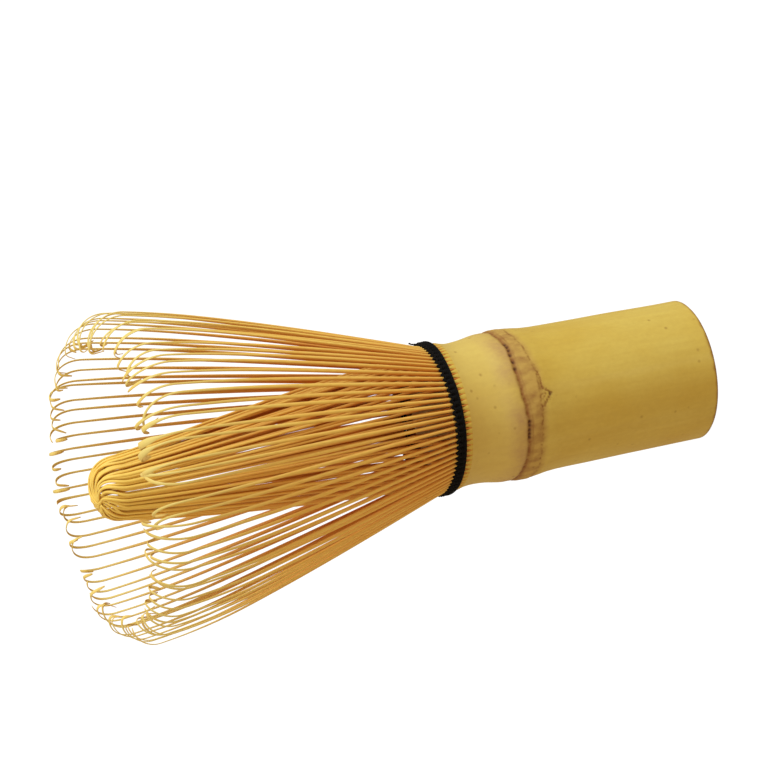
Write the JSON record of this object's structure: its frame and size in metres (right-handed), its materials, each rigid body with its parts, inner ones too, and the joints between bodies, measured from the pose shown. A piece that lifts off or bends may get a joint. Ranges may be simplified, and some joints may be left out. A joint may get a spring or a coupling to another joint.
{
  "type": "bamboo tea whisk",
  "caption": "Bamboo tea whisk cut from one culm: hollow handle with a node ring, curled outer tines and a gathered inner cone of tines, parted by a black binding thread.",
  "frame": {"origin": "centre of the handle's cut end face, on which the whisk stands", "axes": "+Z along the culm's axis from the cut end towards the tines; +X through the middle of the first stave"},
  "size_m": [0.056, 0.056, 0.1117],
  "materials": {
    "culm_skin": "satin dried bamboo skin, pale straw yellow",
    "outer_tine": "split bamboo, satin skin outside and matte fibre inside",
    "inner_tine": "split and shaved bamboo, satin",
    "binding_thread": "twisted cotton thread, matte black"
  },
  "bodies": {
    "handle": {"handle_culm": "culm_skin", "thread_lower_weave": "binding_thread", "thread_upper_weave": "binding_thread", "thread_knot": "binding_thread"},
    "outer_stave_01": {"outer_tines_01": "outer_tine"},
    "inner_stave_01": {"inner_tines_01": "inner_tine"},
    "outer_stave_02": {"outer_tines_02": "outer_tine"},
    "inner_stave_02": {"inner_tines_02": "inner_tine"},
    "outer_stave_03": {"outer_tines_03": "outer_tine"},
    "inner_stave_03": {"inner_tines_03": "inner_tine"},
    "outer_stave_04": {"outer_tines_04": "outer_tine"},
    "inner_stave_04": {"inner_tines_04": "inner_tine"},
    "outer_stave_05": {"outer_tines_05": "outer_tine"},
    "inner_stave_05": {"inner_tines_05": "inner_tine"},
    "outer_stave_06": {"outer_tines_06": "outer_tine"},
    "inner_stave_06": {"inner_tines_06": "inner_tine"},
    "outer_stave_07": {"outer_tines_07": "outer_tine"},
    "inner_stave_07": {"inner_tines_07": "inner_tine"},
    "outer_stave_08": {"outer_tines_08": "outer_tine"},
    "inner_stave_08": {"inner_tines_08": "inner_tine"},
    "outer_stave_09": {"outer_tines_09": "outer_tine"},
    "inner_stave_09": {"inner_tines_09": "inner_tine"},
    "outer_stave_10": {"outer_tines_10": "outer_tine"},
    "inner_stave_10": {"inner_tines_10": "inner_tine"},
    "outer_stave_11": {"outer_tines_11": "outer_tine"},
    "inner_stave_11": {"inner_tines_11": "inner_tine"},
    "outer_stave_12": {"outer_tines_12": "outer_tine"},
    "inner_stave_12": {"inner_tines_12": "inner_tine"},
    "outer_stave_13": {"outer_tines_13": "outer_tine"},
    "inner_stave_13": {"inner_tines_13": "inner_tine"},
    "outer_stave_14": {"outer_tines_14": "outer_tine"},
    "inner_stave_14": {"inner_tines_14": "inner_tine"},
    "outer_stave_15": {"outer_tines_15": "outer_tine"},
    "inner_stave_15": {"inner_tines_15": "inner_tine"},
    "outer_stave_16": {"outer_tines_16": "outer_tine"},
    "inner_stave_16": {"inner_tines_16": "inner_tine"}
  },
  "joints": [
    {"name": "outer_flex_01", "type": "hinge", "parent": "handle", "child": "outer_stave_01", "pos_m": [0.01232, 0, 0.04955], "axis": [0, 1, 0], "range_deg": [-3, 4], "stiffness_Nm_per_rad": 0.03},
    {"name": "inner_flex_01", "type": "hinge", "parent": "handle", "child": "inner_stave_01", "pos_m": [0.012, 0, 0.0525], "axis": [0, 1, 0], "range_deg": [0, 3.5], "stiffness_Nm_per_rad": 0.017},
    {"name": "outer_flex_02", "type": "hinge", "parent": "handle", "child": "outer_stave_02", "pos_m": [0.01138, 0.00471, 0.04955], "axis": [-0.3827, 0.9239, 0], "range_deg": [-3, 4], "stiffness_Nm_per_rad": 0.03},
    {"name": "inner_flex_02", "type": "hinge", "parent": "handle", "child": "inner_stave_02", "pos_m": [0.01109, 0.00459, 0.0525], "axis": [-0.3827, 0.9239, 0], "range_deg": [0, 3.5], "stiffness_Nm_per_rad": 0.017},
    {"name": "outer_flex_03", "type": "hinge", "parent": "handle", "child": "outer_stave_03", "pos_m": [0.00871, 0.00871, 0.04955], "axis": [-0.7071, 0.7071, 0], "range_deg": [-3, 4], "stiffness_Nm_per_rad": 0.03},
    {"name": "inner_flex_03", "type": "hinge", "parent": "handle", "child": "inner_stave_03", "pos_m": [0.00849, 0.00849, 0.0525], "axis": [-0.7071, 0.7071, 0], "range_deg": [0, 3.5], "stiffness_Nm_per_rad": 0.017},
    {"name": "outer_flex_04", "type": "hinge", "parent": "handle", "child": "outer_stave_04", "pos_m": [0.00471, 0.01138, 0.04955], "axis": [-0.9239, 0.3827, 0], "range_deg": [-3, 4], "stiffness_Nm_per_rad": 0.03},
    {"name": "inner_flex_04", "type": "hinge", "parent": "handle", "child": "inner_stave_04", "pos_m": [0.00459, 0.01109, 0.0525], "axis": [-0.9239, 0.3827, 0], "range_deg": [0, 3.5], "stiffness_Nm_per_rad": 0.017},
    {"name": "outer_flex_05", "type": "hinge", "parent": "handle", "child": "outer_stave_05", "pos_m": [0, 0.01232, 0.04955], "axis": [-1, 0, 0], "range_deg": [-3, 4], "stiffness_Nm_per_rad": 0.03},
    {"name": "inner_flex_05", "type": "hinge", "parent": "handle", "child": "inner_stave_05", "pos_m": [0, 0.012, 0.0525], "axis": [-1, 0, 0], "range_deg": [0, 3.5], "stiffness_Nm_per_rad": 0.017},
    {"name": "outer_flex_06", "type": "hinge", "parent": "handle", "child": "outer_stave_06", "pos_m": [-0.00471, 0.01138, 0.04955], "axis": [-0.9239, -0.3827, 0], "range_deg": [-3, 4], "stiffness_Nm_per_rad": 0.03},
    {"name": "inner_flex_06", "type": "hinge", "parent": "handle", "child": "inner_stave_06", "pos_m": [-0.00459, 0.01109, 0.0525], "axis": [-0.9239, -0.3827, 0], "range_deg": [0, 3.5], "stiffness_Nm_per_rad": 0.017},
    {"name": "outer_flex_07", "type": "hinge", "parent": "handle", "child": "outer_stave_07", "pos_m": [-0.00871, 0.00871, 0.04955], "axis": [-0.7071, -0.7071, 0], "range_deg": [-3, 4], "stiffness_Nm_per_rad": 0.03},
    {"name": "inner_flex_07", "type": "hinge", "parent": "handle", "child": "inner_stave_07", "pos_m": [-0.00849, 0.00849, 0.0525], "axis": [-0.7071, -0.7071, 0], "range_deg": [0, 3.5], "stiffness_Nm_per_rad": 0.017},
    {"name": "outer_flex_08", "type": "hinge", "parent": "handle", "child": "outer_stave_08", "pos_m": [-0.01138, 0.00471, 0.04955], "axis": [-0.3827, -0.9239, 0], "range_deg": [-3, 4], "stiffness_Nm_per_rad": 0.03},
    {"name": "inner_flex_08", "type": "hinge", "parent": "handle", "child": "inner_stave_08", "pos_m": [-0.01109, 0.00459, 0.0525], "axis": [-0.3827, -0.9239, 0], "range_deg": [0, 3.5], "stiffness_Nm_per_rad": 0.017},
    {"name": "outer_flex_09", "type": "hinge", "parent": "handle", "child": "outer_stave_09", "pos_m": [-0.01232, 0, 0.04955], "axis": [0, -1, 0], "range_deg": [-3, 4], "stiffness_Nm_per_rad": 0.03},
    {"name": "inner_flex_09", "type": "hinge", "parent": "handle", "child": "inner_stave_09", "pos_m": [-0.012, 0, 0.0525], "axis": [0, -1, 0], "range_deg": [0, 3.5], "stiffness_Nm_per_rad": 0.017},
    {"name": "outer_flex_10", "type": "hinge", "parent": "handle", "child": "outer_stave_10", "pos_m": [-0.01138, -0.00471, 0.04955], "axis": [0.3827, -0.9239, 0], "range_deg": [-3, 4], "stiffness_Nm_per_rad": 0.03},
    {"name": "inner_flex_10", "type": "hinge", "parent": "handle", "child": "inner_stave_10", "pos_m": [-0.01109, -0.00459, 0.0525], "axis": [0.3827, -0.9239, 0], "range_deg": [0, 3.5], "stiffness_Nm_per_rad": 0.017},
    {"name": "outer_flex_11", "type": "hinge", "parent": "handle", "child": "outer_stave_11", "pos_m": [-0.00871, -0.00871, 0.04955], "axis": [0.7071, -0.7071, 0], "range_deg": [-3, 4], "stiffness_Nm_per_rad": 0.03},
    {"name": "inner_flex_11", "type": "hinge", "parent": "handle", "child": "inner_stave_11", "pos_m": [-0.00849, -0.00849, 0.0525], "axis": [0.7071, -0.7071, 0], "range_deg": [0, 3.5], "stiffness_Nm_per_rad": 0.017},
    {"name": "outer_flex_12", "type": "hinge", "parent": "handle", "child": "outer_stave_12", "pos_m": [-0.00471, -0.01138, 0.04955], "axis": [0.9239, -0.3827, 0], "range_deg": [-3, 4], "stiffness_Nm_per_rad": 0.03},
    {"name": "inner_flex_12", "type": "hinge", "parent": "handle", "child": "inner_stave_12", "pos_m": [-0.00459, -0.01109, 0.0525], "axis": [0.9239, -0.3827, 0], "range_deg": [0, 3.5], "stiffness_Nm_per_rad": 0.017},
    {"name": "outer_flex_13", "type": "hinge", "parent": "handle", "child": "outer_stave_13", "pos_m": [0, -0.01232, 0.04955], "axis": [1, 0, 0], "range_deg": [-3, 4], "stiffness_Nm_per_rad": 0.03},
    {"name": "inner_flex_13", "type": "hinge", "parent": "handle", "child": "inner_stave_13", "pos_m": [0, -0.012, 0.0525], "axis": [1, 0, 0], "range_deg": [0, 3.5], "stiffness_Nm_per_rad": 0.017},
    {"name": "outer_flex_14", "type": "hinge", "parent": "handle", "child": "outer_stave_14", "pos_m": [0.00471, -0.01138, 0.04955], "axis": [0.9239, 0.3827, 0], "range_deg": [-3, 4], "stiffness_Nm_per_rad": 0.03},
    {"name": "inner_flex_14", "type": "hinge", "parent": "handle", "child": "inner_stave_14", "pos_m": [0.00459, -0.01109, 0.0525], "axis": [0.9239, 0.3827, 0], "range_deg": [0, 3.5], "stiffness_Nm_per_rad": 0.017},
    {"name": "outer_flex_15", "type": "hinge", "parent": "handle", "child": "outer_stave_15", "pos_m": [0.00871, -0.00871, 0.04955], "axis": [0.7071, 0.7071, 0], "range_deg": [-3, 4], "stiffness_Nm_per_rad": 0.03},
    {"name": "inner_flex_15", "type": "hinge", "parent": "handle", "child": "inner_stave_15", "pos_m": [0.00849, -0.00849, 0.0525], "axis": [0.7071, 0.7071, 0], "range_deg": [0, 3.5], "stiffness_Nm_per_rad": 0.017},
    {"name": "outer_flex_16", "type": "hinge", "parent": "handle", "child": "outer_stave_16", "pos_m": [0.01138, -0.00471, 0.04955], "axis": [0.3827, 0.9239, 0], "range_deg": [-3, 4], "stiffness_Nm_per_rad": 0.03},
    {"name": "inner_flex_16", "type": "hinge", "parent": "handle", "child": "inner_stave_16", "pos_m": [0.01109, -0.00459, 0.0525], "axis": [0.3827, 0.9239, 0], "range_deg": [0, 3.5], "stiffness_Nm_per_rad": 0.017}
  ]
}
